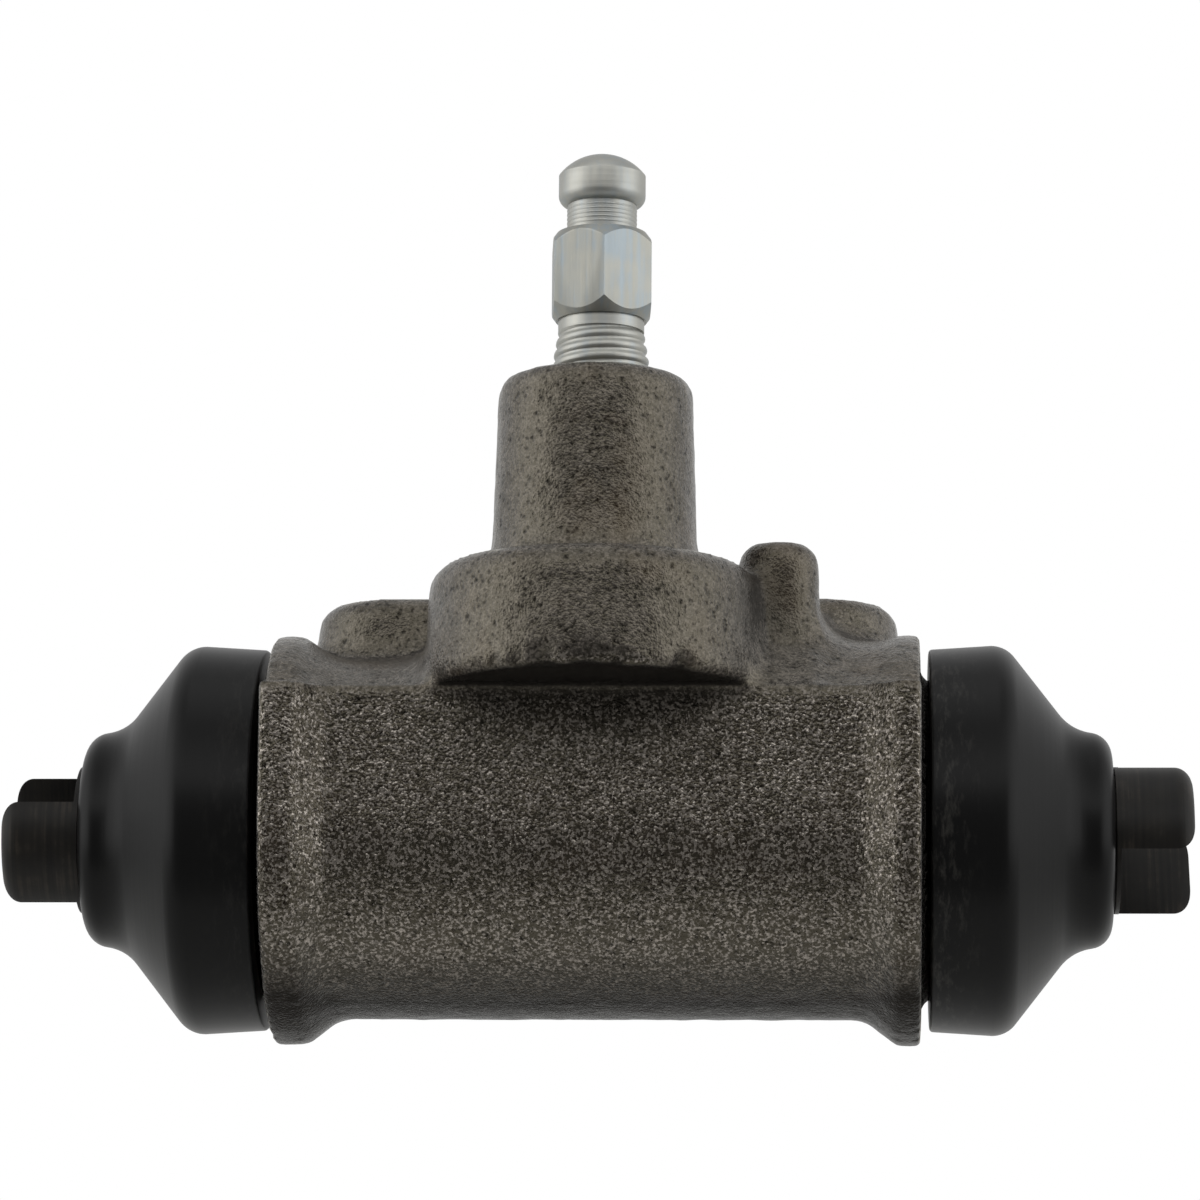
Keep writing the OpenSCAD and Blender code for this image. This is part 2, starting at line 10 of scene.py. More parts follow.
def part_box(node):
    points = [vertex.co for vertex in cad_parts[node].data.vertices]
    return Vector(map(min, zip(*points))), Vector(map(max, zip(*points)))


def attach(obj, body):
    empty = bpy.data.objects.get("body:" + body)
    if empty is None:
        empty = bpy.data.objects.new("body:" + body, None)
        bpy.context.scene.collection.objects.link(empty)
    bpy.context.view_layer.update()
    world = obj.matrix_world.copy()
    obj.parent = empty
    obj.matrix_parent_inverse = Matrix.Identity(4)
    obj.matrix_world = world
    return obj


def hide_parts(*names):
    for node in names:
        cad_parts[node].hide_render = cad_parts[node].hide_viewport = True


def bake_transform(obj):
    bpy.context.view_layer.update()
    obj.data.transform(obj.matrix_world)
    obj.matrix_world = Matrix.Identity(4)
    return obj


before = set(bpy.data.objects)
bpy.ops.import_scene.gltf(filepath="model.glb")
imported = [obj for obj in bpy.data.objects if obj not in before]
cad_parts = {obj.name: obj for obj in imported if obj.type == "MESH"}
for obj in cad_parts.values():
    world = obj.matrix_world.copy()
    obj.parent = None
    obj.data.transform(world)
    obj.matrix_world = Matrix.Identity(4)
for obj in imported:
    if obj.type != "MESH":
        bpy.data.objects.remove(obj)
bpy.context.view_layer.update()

MM = 0.001

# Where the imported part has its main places
PISTON_LOW, PISTON_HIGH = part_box("right_piston")
BORE_Y = (PISTON_LOW.y + PISTON_HIGH.y) / 2
BORE_Z = (PISTON_LOW.z + PISTON_HIGH.z) / 2
BORE_R = (PISTON_HIGH.y - PISTON_LOW.y) / 2
BLEEDER_LOW, BLEEDER_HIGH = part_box("bleeder_screw")
BLEEDER_X = (BLEEDER_LOW.x + BLEEDER_HIGH.x) / 2
BLEEDER_Y = (BLEEDER_LOW.y + BLEEDER_HIGH.y) / 2
BODY_LOW, BODY_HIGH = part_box("cylinder_body")
BOOT_LOW, BOOT_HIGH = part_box("right_boot")
TOWER_TOP = BODY_HIGH.z

# Sizes of the casting that its box doesn't give
SPIGOT_LENGTH = 5 * MM
LEDGE_HEIGHT = 10.5 * MM
BARREL_R = 14.8 * MM
PAD_R = 13.8 * MM
BOLT_SPACING = 35 * MM
BOLT_HOLE_R = 2.5 * MM
INLET_HOLE_R = 4.5 * MM
INLET_SETBACK = 10 * MM
THREAD_R = 4 * MM
BLEEDER_SHIFT = 0.4 * MM
# The screw's hexagon, from the tower's top
HEXAGON_MIDDLE = 8.6 * MM
HEXAGON_HEIGHT = 7.6 * MM
FLANGE_X = BODY_HIGH.x - SPIGOT_LENGTH
LEDGE_Z = BORE_Z + LEDGE_HEIGHT
# The holes drilled down from the mounting face: the two bolts' and the inlet
DRILLED_HOLES = ((-BOLT_SPACING / 2, 0, BOLT_HOLE_R), (BOLT_SPACING / 2, 0, BOLT_HOLE_R),
                 (0, BORE_Y + INLET_SETBACK, INLET_HOLE_R))
# How close to a drilled wall a place is drawn to it
HOLE_REACH = 0.3 * MM
WALL_Y = BORE_Y - BARREL_R
PAD_X = BLEEDER_X - BLEEDER_SHIFT
PAD_Y = BLEEDER_Y


# Small helpers for meshes and materials

def linear(hex_colour):
    """An sRGB hex colour as the linear colour that a shader takes."""
    channels = [int(hex_colour[i:i + 2], 16) / 255 for i in (1, 3, 5)]
    return [c / 12.92 if c <= 0.04045 else ((c + 0.055) / 1.055) ** 2.4 for c in channels] + [1.0]


def per_metre(size_mm):
    """The scale of a pattern whose features are this many millimetres wide."""
    return 1 / (size_mm * MM)


def add_node(tree, kind, inputs=None, **settings):
    """Adds one node. A value in inputs that is a socket is linked, and any other is set."""
    made = tree.nodes.new(kind)
    for name, value in settings.items():
        setattr(made, name, value)
    for name, value in (inputs or {}).items():
        if isinstance(value, bpy.types.NodeSocket):
            tree.links.new(value, made.inputs[name])
        else:
            made.inputs[name].default_value = value
    return made


def reckon(tree, operation, *values):
    """One step of arithmetic on values and sockets."""
    return add_node(tree, "ShaderNodeMath", dict(enumerate(values)), operation=operation).outputs["Value"]


def fade(tree, value, span=(0.0, 1.0), start=0.0, end=1.0):
    """Goes from start to end while a value crosses a span."""
    return add_node(tree, "ShaderNodeMapRange", {
        "Value": value, "From Min": span[0], "From Max": span[1],
        "To Min": start, "To Max": end}).outputs["Result"]


def noise_field(tree, place, size_mm, **inputs):
    """Soft noise whose features are this many millimetres wide."""
    return add_node(tree, "ShaderNodeTexNoise", {
        "Vector": place, "Scale": per_metre(size_mm), **inputs}).outputs


def stretched(tree, place, scale):
    """Places on which a pattern runs long along the axes whose scale is small."""
    return add_node(tree, "ShaderNodeMapping", {"Vector": place, "Scale": scale}).outputs["Vector"]


def mix_colours(tree, share, first, second, blend_type="MIX"):
    return add_node(tree, "ShaderNodeMixRGB", {"Fac": share, "Color1": first, "Color2": second},
                    blend_type=blend_type).outputs["Color"]


def coloured(tree, value, *stops):
    """A value as a colour, from stops that are each a place from 0 to 1 and an sRGB hex colour."""
    ramp = add_node(tree, "ShaderNodeValToRGB", {"Fac": value})
    elements = ramp.color_ramp.elements
    while len(elements) < len(stops):
        elements.new(1.0)
    for element, (place, hex_colour) in zip(elements, stops):
        element.position = place
        element.color = linear(hex_colour)
    return ramp.outputs["Color"]


def bumped(tree, height, strength, depth):
    return add_node(tree, "ShaderNodeBump", {
        "Height": height, "Strength": strength, "Distance": depth}).outputs["Normal"]


def new_material(name):
    """A material with an empty tree."""
    material = bpy.data.materials.new(name)
    material.use_nodes = True
    material.node_tree.nodes.clear()
    return material, material.node_tree


def finish_material(tree, inputs):
    """Ends a material's tree with its surface."""
    shader = add_node(tree, "ShaderNodeBsdfPrincipled", inputs)
    add_node(tree, "ShaderNodeOutputMaterial", {"Surface": shader.outputs["BSDF"]})


# Edges that turn more than this stay sharp, in degrees
SHARP_ANGLE = 32
# Faces that lean less than this from each other are one flat face
FLAT_ANGLE = 0.5
MERGE_DISTANCE = 0.0005 * MM
EASE_SEGMENTS = 2


def mesh_from(name, bm):
    """A mesh made of a bmesh, which is used up."""
    mesh = bpy.data.meshes.new(name)
    bm.to_mesh(mesh)
    bm.free()
    return mesh


def add_object(name, held):
    """An object in the scene that holds a mesh, a lamp or a camera."""
    made = bpy.data.objects.new(name, held)
    bpy.context.scene.collection.objects.link(made)
    return made


def coat(mesh, material):
    """Gives a mesh its one material."""
    mesh.materials.clear()
    mesh.materials.append(material)


def new_piece(name, bm, material):
    """An object at the origin from a bmesh, smooth but for its sharp edges."""
    mesh = mesh_from(name, bm)
    mesh.shade_smooth()
    mesh.set_sharp_from_angle(angle=math.radians(SHARP_ANGLE))
    piece = add_object(name, mesh)
    coat(mesh, material)
    return piece


def merged_copy(node):
    """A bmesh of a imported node, whose loose triangles are joined."""
    bm = bmesh.new()
    bm.from_mesh(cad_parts[node].data)
    bmesh.ops.remove_doubles(bm, verts=bm.verts, dist=MERGE_DISTANCE)
    return bm


def cut_part(bm, place, normal, keep_front):
    """Cuts a bmesh at a plane, keeps what is in front of it or behind it, and gives the edges of the cut."""
    geometry = bm.verts[:] + bm.edges[:] + bm.faces[:]
    cut = bmesh.ops.bisect_plane(bm, geom=geometry, plane_co=place, plane_no=normal,
                                 clear_inner=keep_front, clear_outer=not keep_front)
    return [e for e in cut["geom_cut"] if isinstance(e, bmesh.types.BMEdge)]


def join_flats(bm):
    """Joins the triangles of each flat face, so that only true edges are left."""
    bmesh.ops.dissolve_limit(bm, angle_limit=math.radians(FLAT_ANGLE), verts=bm.verts, edges=bm.edges)


def ease_edges(piece, width):
    """Takes the sharpness off a piece's edges."""
    bevel = piece.modifiers.new("eased_edges", "BEVEL")
    bevel.width = width
    bevel.segments = EASE_SEGMENTS
    bevel.limit_method = "ANGLE"
    bevel.angle_limit = math.radians(SHARP_ANGLE)
    bevel.harden_normals = True


# Materials

# How far the pits' outlines wander
PIT_WANDER = 0.5 * MM
# What the sand's facets add to its grain, and what its grains and pits add to its height
FACET_SHARE = 0.5
GRAIN_DIP = -0.4
PIT_RISE = 0.4
# The depth of the marks left by the sand and by a tool or a turned mould
SAND_DEPTH = 0.08 * MM
TOOL_DEPTH = 0.04 * MM
# How a pattern is stretched: to lines round the bore's axis, rings round the screw, streaks up it, and smears
BORE_LINES = (1, 0.02, 0.02)
SCREW_RINGS = (0.02, 0.02, 1)
SCREW_STREAKS = (1, 1, 0.06)
RUBBER_SMEARS = (1, 0.3, 0.3)
# What the drawn hexagon adds to the roughness of the turned screw
DRAWN_SHEEN = -0.06


def sand_cast_iron():
    """Grey cast iron straight from a sand mould: a dark, brownish skin, mottled and pitted by the sand, whose
    slopes catch the light. It has rusty spots, is rubbed to bright flecks below the ledge, and bright where it
    was machined. Painted shade darkens its pits, the underside of the pad and the barrel below it, the valley
    by the pip, the pad's chips and the barrel towards its foot."""
    material, tree = new_material("sand_cast_iron")
    place = add_node(tree, "ShaderNodeTexCoord").outputs["Object"]
    # Marks made on the mesh: what was machined, where shade is painted, and what is rubbed
    machined, painted_shade, rubbed = [add_node(tree, "ShaderNodeAttribute", attribute_name=name).outputs["Fac"]
                              for name in ("machined", "painted_shade", "rubbed")]
    # The sand's grains are about 0.2 mm, near the finest that shows
    grains = add_node(tree, "ShaderNodeTexVoronoi", {"Vector": place, "Scale": per_metre(0.19)}).outputs
    facet = add_node(tree, "ShaderNodeSeparateColor", {"Color": grains["Color"]}).outputs["Red"]
    clump = noise_field(tree, place, 0.25, Detail=1.0, Roughness=0.6)["Fac"]
    grain = reckon(tree, "MULTIPLY_ADD", facet, FACET_SHARE, clump)
    mottle = noise_field(tree, place, 1.1, Detail=4.0, Roughness=0.65)["Fac"]
    patch = noise_field(tree, place, 7, Detail=4.0)["Fac"]
    wobble = noise_field(tree, place, 0.5)["Color"]
    bent = add_node(tree, "ShaderNodeVectorMath", {0: wobble, 1: (PIT_WANDER,) * 3, 2: place},
                    operation="MULTIPLY_ADD").outputs["Vector"]
    cells = add_node(tree, "ShaderNodeTexVoronoi", {"Vector": bent, "Scale": per_metre(0.55)}).outputs
    pit = fade(tree, reckon(tree, "ADD", cells["Distance"], mottle), span=(0.5, 0.9))
    tone = fade(tree, reckon(tree, "ADD", grain, mottle), span=(0.9, 1.6))
    skin = coloured(tree, tone, (0.0, "#181615"), (0.5, "#353230"), (1.0, "#5a5550"))
    # The pits are real dips in the bump; their darker colour is painted shade in them
    pit_shade = coloured(tree, pit, (0.0, "#7a7876"), (1.0, "#ffffff"))
    pitted = mix_colours(tree, 1.0, skin, pit_shade, "MULTIPLY")
    rusty = fade(tree, patch, span=(0.55, 0.75), end=0.28)
    rusted = mix_colours(tree, rusty, pitted, linear("#4f3e2c"))
    browned = mix_colours(tree, rubbed, rusted, linear("#8a847c"), "MULTIPLY")
    # Painted shade: near black where the shade mark is set
    shade_painted = mix_colours(tree, painted_shade, browned, linear("#1a1816"))
    # Bright flecks on the tops of the grains, where the skin is rubbed and has no painted shade
    top = fade(tree, grain, span=(0.75, 1.1))
    fleck = reckon(tree, "MULTIPLY", top, fade(tree, painted_shade, start=rubbed, end=0.0))
    flecked = mix_colours(tree, fleck, shade_painted, linear("#99928a"))
    lines = add_node(tree, "ShaderNodeTexWave", {
        "Vector": place, "Scale": per_metre(2.4), "Distortion": 1.5, "Detail": 2.0}).outputs["Fac"]
    milled = coloured(tree, lines, (0.2, "#817f7c"), (0.8, "#94928f"))
    bare = reckon(tree, "MAXIMUM", machined, fleck)
    hills = reckon(tree, "MULTIPLY_ADD", grains["Distance"], GRAIN_DIP, clump)
    relief = reckon(tree, "MULTIPLY_ADD", pit, PIT_RISE, reckon(tree, "ADD", hills, mottle))
    rough = fade(tree, rubbed, start=0.75, end=1.0)
    even = fade(tree, machined, start=rough, end=0.2)
    # Less shine where the shade is painted
    shine_out_of_shade = fade(tree, painted_shade, start=0.7, end=0.05)
    finish_material(tree, {
        "Base Color": mix_colours(tree, machined, flecked, milled),
        "Metallic": bare,
        "Roughness": 0.24,
        "Specular IOR Level": fade(tree, pit, start=0.15, end=shine_out_of_shade),
        "Specular Tint": mix_colours(tree, bare, linear("#fff3d6"), linear("#ffffff")),
        "Normal": bumped(tree, relief, even, SAND_DEPTH)})
    return material


def zinc_plated_steel():
    """Steel under dull zinc: grey, with fine rings where the screw was turned and upright streaks on its drawn
    hexagon, faintly blue and yellow in patches."""
    material, tree = new_material("zinc_plated_steel")
    place = add_node(tree, "ShaderNodeTexCoord").outputs["Object"]
    height = add_node(tree, "ShaderNodeSeparateXYZ", {"Vector": place}).outputs["Z"]
    drawn = reckon(tree, "COMPARE", height, TOWER_TOP + HEXAGON_MIDDLE, HEXAGON_HEIGHT / 2)
    rings = noise_field(tree, stretched(tree, place, SCREW_RINGS), 0.3, Detail=2.0)["Fac"]
    streaks = noise_field(tree, stretched(tree, place, SCREW_STREAKS), 0.5, Detail=3.0)["Fac"]
    marks = fade(tree, drawn, start=rings, end=streaks)
    patch = noise_field(tree, place, 3, Detail=4.0)["Fac"]
    tint = fade(tree, reckon(tree, "ADD", streaks, patch), span=(0.75, 1.25))
    plated = coloured(tree, tint, (0.0, "#899195"), (0.5, "#93948f"), (1.0, "#9a9991"))
    # The turned neck and thread are painted paler than the hexagon: a painted reflection that brightens them
    turned = fade(tree, drawn, start=0.32, end=0.0)
    dull = fade(tree, marks, start=0.4, end=0.56)
    finish_material(tree, {
        "Base Color": mix_colours(tree, turned, plated, linear("#c2c2bd")),
        "Metallic": 1.0,
        "Roughness": reckon(tree, "MULTIPLY_ADD", drawn, DRAWN_SHEEN, dull),
        "Normal": bumped(tree, marks, 0.4, TOOL_DEPTH)})
    return material


def black_oxide_steel():
    """Turned steel, blackened in an oxide bath: brown-black and oily, with fine lathe lines round the bore
    axis."""
    material, tree = new_material("black_oxide_steel")
    place = add_node(tree, "ShaderNodeTexCoord").outputs["Object"]
    lines = noise_field(tree, stretched(tree, place, BORE_LINES), 0.35, Detail=2.0)["Fac"]
    blotch = noise_field(tree, place, 2.5, Detail=4.0)["Fac"]
    shade = fade(tree, reckon(tree, "ADD", lines, blotch), span=(0.7, 1.35))
    finish_material(tree, {
        "Base Color": coloured(tree, shade, (0.0, "#0e0d0c"), (0.6, "#191714"), (1.0, "#2e2924")),
        "Roughness": 0.45,
        "Specular IOR Level": 0.17,
        "Normal": bumped(tree, lines, 0.4, TOOL_DEPTH)})
    return material


def moulded_rubber(name, roughness):
    """Black rubber as it left the mould: satin, with fine rings from the turned mould, and grey where it is
    worn."""
    material, tree = new_material(name)
    place = add_node(tree, "ShaderNodeTexCoord").outputs["Object"]
    worn = add_node(tree, "ShaderNodeAttribute", attribute_name="worn").outputs["Fac"]
    rings = noise_field(tree, stretched(tree, place, BORE_LINES), 0.5, Detail=2.0)["Fac"]
    smear = stretched(tree, place, RUBBER_SMEARS)
    dust = noise_field(tree, smear, 0.6, Detail=5.0, Roughness=0.75)["Fac"]
    scuffed = fade(tree, dust, span=(0.5, 0.75), end=worn)
    finish_material(tree, {
        "Base Color": mix_colours(tree, scuffed, linear("#0d0d0d"), linear("#55534f")),
        "Roughness": roughness,
        "Specular IOR Level": 0.12,
        "Normal": bumped(tree, rings, 0.25, TOOL_DEPTH)})
    return material


def drawn_steel(name, dark, light):
    """Plain bright steel inside the bore, as pressed or drawn: grey with a soft grain."""
    material, tree = new_material(name)
    place = add_node(tree, "ShaderNodeTexCoord").outputs["Object"]
    grain = noise_field(tree, place, 0.8, Detail=3.0)["Fac"]
    finish_material(tree, {
        "Base Color": coloured(tree, grain, (0.3, dark), (0.7, light)),
        "Metallic": 1.0,
        "Roughness": fade(tree, grain, start=0.25, end=0.45)})
    return material


# The casting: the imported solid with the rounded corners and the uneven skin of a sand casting

# The size of the skin's cells, and the turn in degrees from which its edges stay sharp
SKIN_VOXEL = 0.44 * MM
RIM_ANGLE = 55
# Passes of rounding: all of them, those that reach below the ledge, and those that also wear edges down
FILLET_PASSES = 40
FLARE_PASSES = 6
EDGE_PASSES = 2
# Uneven skin: the width of its waves and how far they stand out
SKIN_WAVES = ((2.2 * MM, 0.05 * MM), (1.0 * MM, 0.035 * MM))
# How close to a machined surface a place belongs to it, and how square its normal is to a machined face
MACHINED_MARGIN = 0.25 * MM
SQUARE_SHARE = 0.9
# What lies under the pad: in from its rim, back from the barrel's front, and how far above or below counts
PAD_RIM = 0.2 * MM
PAD_WALL = 0.3 * MM
PAD_SLACK = 0.15 * MM
# How far down the wall the corner under the pad is kept, and how far down shade is painted on it
PAD_CORNER = 1.2 * MM
PAD_SHADE_REACH = 0.2 * MM
# How fast the painted shade grows as an underside turns down, and where it starts
SHADE_GROWTH = 2
SHADE_START = 0.4
# After the first passes nothing moves below this height above the ledge
LEDGE_MARGIN = 0.2 * MM
# How far below the ledge the barrel is rubbed in full
RUBBED_REACH = 1.5 * MM
# Chips in the pad's lower edge: along the bore, above the edge, across and deep, in millimetres
PAD_CHIPS = ((-9.0, 0.6, 0.4, 0.3), (-7.4, 0.8, 0.4, 0.3), (-5.6, 0.5, 0.5, 0.3), (-3.5, 0.5, 0.9, 0.9),
             (0.0, 0.0, 1.6, 0.4), (2.5, 0.3, 0.7, 0.5), (7.8, 0.4, 0.8, 0.8))
# How dark the chips' hollows are painted: painted shade
CHIP_SHADE = 0.55
# Painted shade darkens the barrel towards its foot, from this far below the bore's axis
FOOT_DROP = 10.5 * MM
FOOT_FADE = 3.5 * MM
# Painted shade in the valley between the pad and the pip
VALLEY = Vector((12.8, -19.0, -3.0)) * MM
VALLEY_REACH = 4 * MM
VALLEY_SHADE = 0.8
# The pad's painted shadow on the barrel below it: to each side of the pad, where it fades, and down
PAD_SHADOW_SIDES = (9 * MM, 13 * MM)
PAD_SHADOW_DOWN = 4 * MM
PAD_SHADOW_DARKNESS = 0.7
# The pad's lower edge is rubbed bright between these places along the bore, this far above the ledge, and
# where it stands out this far from the barrel
RUBBED_EDGE = (-3.5 * MM, 5 * MM)
RUBBED_EDGE_HEIGHT = 0.4 * MM
RUBBED_EDGE_OUT = 2 * MM


def cast_body(material):
    """The casting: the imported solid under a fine, even skin, which is then rounded and roughened."""
    piece = add_object("casting", mesh_from("casting", merged_copy("cylinder_body")))
    remesh = piece.modifiers.new("skin", "REMESH")
    remesh.mode = "VOXEL"
    remesh.voxel_size = SKIN_VOXEL
    graph = bpy.context.evaluated_depsgraph_get()
    skin = bpy.data.meshes.new_from_object(piece.evaluated_get(graph))
    piece.modifiers.clear()
    piece.data = skin
    round_casting(skin)
    roughen_casting(skin)
    skin.shade_smooth()
    skin.set_sharp_from_angle(angle=math.radians(RIM_ANGLE))
    coat(skin, material)
    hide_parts("cylinder_body")
    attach(piece, "casting")


def mesh_places(mesh):
    places = np.empty(len(mesh.vertices) * 3)
    mesh.vertices.foreach_get("co", places)
    return places.reshape(-1, 3)


def mesh_normals(mesh):
    normals = np.empty(len(mesh.vertices) * 3)
    mesh.vertex_normals.foreach_get("vector", normals)
    return normals.reshape(-1, 3)


def near_axis(places, x, y, radius):
    """True within a radius of an upright axis."""
    return np.hypot(places[:, 0] - x, places[:, 1] - y) < radius


def fall_off(places, centre, reach):
    """A share that is 1 at a point and fades with the distance from it."""
    return np.exp(-((places - centre) ** 2).sum(axis=1) / reach ** 2)


def machined_zone(places, normals):
    """True on the bore, the spigots, the flanges' faces, the mounting face and in the drilled holes."""
    margin = MACHINED_MARGIN
    from_bore = np.hypot(places[:, 1] - BORE_Y, places[:, 2] - BORE_Z)
    zone = (from_bore < BORE_R + margin) | (np.abs(places[:, 0]) > FLANGE_X + margin)
    zone |= (np.abs(places[:, 0]) > FLANGE_X - margin) & (np.abs(normals[:, 0]) > SQUARE_SHARE)
    zone |= (np.abs(places[:, 2]) < margin) & (normals[:, 2] > SQUARE_SHARE)
    for x, y, radius in DRILLED_HOLES:
        zone |= near_axis(places, x, y, radius + margin) & (places[:, 2] > BORE_Z)
    zone |= near_axis(places, BLEEDER_X, BLEEDER_Y, THREAD_R + margin) & (places[:, 2] > LEDGE_Z + margin)
    return zone


def true_holes(places):
    """Draws the rims and walls of the drilled holes to true circles."""
    for x, y, radius in DRILLED_HOLES:
        away = places[:, :2] - (x, y)
        out = np.hypot(away[:, 0], away[:, 1])
        wall = (np.abs(out - radius) < HOLE_REACH) & (places[:, 2] > BORE_Z + BORE_R + HOLE_REACH)
        places[wall, :2] = (x, y) + away[wall] * (radius / out[wall])[:, None]
        places[wall & (places[:, 2] > -HOLE_REACH), 2] = 0


def under_pad(places, reach):
    """True on the pad's underside, and below it on the wall as far as reach."""
    zone = near_axis(places, PAD_X, PAD_Y, PAD_R - PAD_RIM) & (places[:, 1] < WALL_Y + PAD_WALL)
    return zone & (np.abs(places[:, 2] - LEDGE_Z + reach / 2) < reach / 2 + PAD_SLACK)


def round_casting(mesh):
    """Fills the corners of the casting to fillets, and takes the sharpness off its edges."""
    ends = np.empty(len(mesh.edges) * 2, dtype=np.int64)
    mesh.edges.foreach_get("vertices", ends)
    ends = ends.reshape(-1, 2)
    places = mesh_places(mesh)
    count = len(places)
    neighbours = np.bincount(ends.ravel(), minlength=count)
    held = machined_zone(places, mesh_normals(mesh)) | under_pad(places, PAD_CORNER)
    free = np.where(held, 0.0, 1.0)
    for step in range(FILLET_PASSES):
        lean = np.empty_like(places)
        for axis in range(3):
            total = np.bincount(ends[:, 0], places[ends[:, 1], axis], count)
            total += np.bincount(ends[:, 1], places[ends[:, 0], axis], count)
            lean[:, axis] = total / neighbours - places[:, axis]
        normals = mesh_normals(mesh)
        outward = (lean * normals).sum(axis=1)
        if step >= EDGE_PASSES:
            outward = np.maximum(outward, 0)
        if step >= FLARE_PASSES:
            outward[places[:, 2] < LEDGE_Z + LEDGE_MARGIN] = 0
        places += normals * (outward * free)[:, None]
        mesh.vertices.foreach_set("co", places.ravel())
        mesh.update()
    true_holes(places)
    mesh.vertices.foreach_set("co", places.ravel())
    mesh.update()


def roughen_casting(mesh):
    """Gives the casting its uneven skin, and marks what was machined, where shade is painted and what is
    rubbed.
    """
    places = mesh_places(mesh)
    normals = mesh_normals(mesh)
    machined = machined_zone(places, normals)
    rise = np.zeros(len(places))
    for width, height in SKIN_WAVES:
        rise += height * np.array([noise.noise(Vector(place) / width) for place in places])
    rise[machined] = 0
    chipped = np.zeros(len(places))
    for along, above, across, deep in PAD_CHIPS:
        front = PAD_Y - math.sqrt(PAD_R ** 2 - (along * MM) ** 2)
        centre = (PAD_X + along * MM, front, LEDGE_Z + above * MM)
        share = fall_off(places, centre, across * MM)
        rise -= deep * MM * share
        chipped = np.maximum(chipped, share)
    # Painted shade: on the pad's underside, in its chips, in the valley by the pip, towards the barrel's foot,
    # and the pad's shadow below it
    painted_shade = under_pad(places, PAD_SHADE_REACH) * np.clip(-normals[:, 2] * SHADE_GROWTH - SHADE_START, 0, 1)
    painted_shade = np.maximum(painted_shade, CHIP_SHADE * chipped)
    painted_shade = np.maximum(painted_shade, VALLEY_SHADE * fall_off(places, VALLEY, VALLEY_REACH))
    painted_shade = np.maximum(painted_shade, np.clip((BORE_Z - FOOT_DROP - places[:, 2]) / FOOT_FADE, 0, 1))
    # The pad's painted shadow on the barrel below it
    inner, outer = PAD_SHADOW_SIDES
    pad_shadow = np.clip((outer - np.abs(places[:, 0] - PAD_X)) / (outer - inner), 0, 1)
    pad_shadow *= (places[:, 2] < LEDGE_Z) & (places[:, 1] < BORE_Y)
    painted_shade = np.maximum(painted_shade, PAD_SHADOW_DARKNESS * pad_shadow * np.exp((places[:, 2] - LEDGE_Z) / PAD_SHADOW_DOWN))
    rubbed = np.clip((LEDGE_Z - places[:, 2]) / RUBBED_REACH, 0, 1)
    edge = (places[:, 2] - LEDGE_Z) / RUBBED_EDGE_HEIGHT - 1
    along = (places[:, 0] - RUBBED_EDGE[0]) * (RUBBED_EDGE[1] - places[:, 0]) > 0
    rubbed = np.maximum(rubbed, np.exp(-edge ** 2) * (along & (places[:, 1] < WALL_Y - RUBBED_EDGE_OUT)))
    places = np.clip(places + normals * rise[:, None], BODY_LOW, BODY_HIGH)
    mesh.vertices.foreach_set("co", places.ravel())
    for name, values in (("machined", machined), ("painted_shade", painted_shade), ("rubbed", rubbed)):
        mesh.attributes.new(name, "FLOAT", "POINT").data.foreach_set("value", values.astype(float))
    mesh.update()


# The bleeder screw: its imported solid, with a rolled thread in place of the plain one

THREAD_OUT = 3.9 * MM
THREAD_SUNK = 2 * MM
THREAD_PITCH = 1 * MM
THREAD_STEPS = 48
# One pitch of the thread: share of the pitch, and depth below the crest
THREAD_SECTION = ((0, 0.22), (0.12, 0.2), (0.3, 0.04), (0.42, 0), (0.6, 0), (0.72, 0.04), (0.88, 0.2),
                  (1, 0.22))
# The crest clears the tapped hole by this much
THREAD_GAP = 0.05 * MM
THREAD_CREST_R = THREAD_R - THREAD_GAP
# Turns spun below the thread and cut off again
THREAD_SPARE = 2
THREAD_MERGE = 0.002 * MM
# The thread runs out at its top: over this length, and narrower by this share
THREAD_LEAD = 2.4 * MM
THREAD_TAPER = 0.1
# How far the thread laps the plain relief above it
THREAD_LAP = 0.05 * MM
SCREW_EASE = 0.1 * MM
# The rings left by the lathe on the neck, from the tower's top
NECK_R = 2.875 * MM
NECK_LOW = 12.7 * MM
NECK_HIGH = 14.5 * MM
NECK_SLEEVE_R = NECK_R / 2
NECK_RINGS = 5
RING_POINTS = 4
NECK_RING_HEIGHT = 0.03 * MM


def rolled_thread(low, high):
    """A closed stretch of right-handed thread between two heights, tapered where it runs out at the top."""
    bm = bmesh.new()
    turns = math.ceil((high - low) / THREAD_PITCH) + THREAD_SPARE + 1
    verts = [bm.verts.new((BLEEDER_X + THREAD_CREST_R - depth * MM, BLEEDER_Y,
                           low + (share - THREAD_SPARE) * THREAD_PITCH)) for share, depth in THREAD_SECTION]
    edges = [bm.edges.new(pair) for pair in zip(verts, verts[1:])]
    bmesh.ops.spin(bm, geom=verts + edges, cent=(BLEEDER_X, BLEEDER_Y, 0), axis=(0, 0, 1),
                   dvec=(0, 0, THREAD_PITCH / THREAD_STEPS), angle=2 * math.pi * turns,
                   steps=THREAD_STEPS * turns)
    bmesh.ops.remove_doubles(bm, verts=bm.verts, dist=THREAD_MERGE)
    for height, above in ((low, True), (high, False)):
        bmesh.ops.holes_fill(bm, edges=cut_part(bm, (0, 0, height), (0, 0, 1), above))
    for vert in bm.verts:
        run = max(0, (vert.co.z - high) / THREAD_LEAD + 1)
        ease = 1 - THREAD_TAPER * run
        vert.co.x = BLEEDER_X + (vert.co.x - BLEEDER_X) * ease
        vert.co.y = BLEEDER_Y + (vert.co.y - BLEEDER_Y) * ease
    bmesh.ops.recalc_face_normals(bm, faces=bm.faces)
    return bm


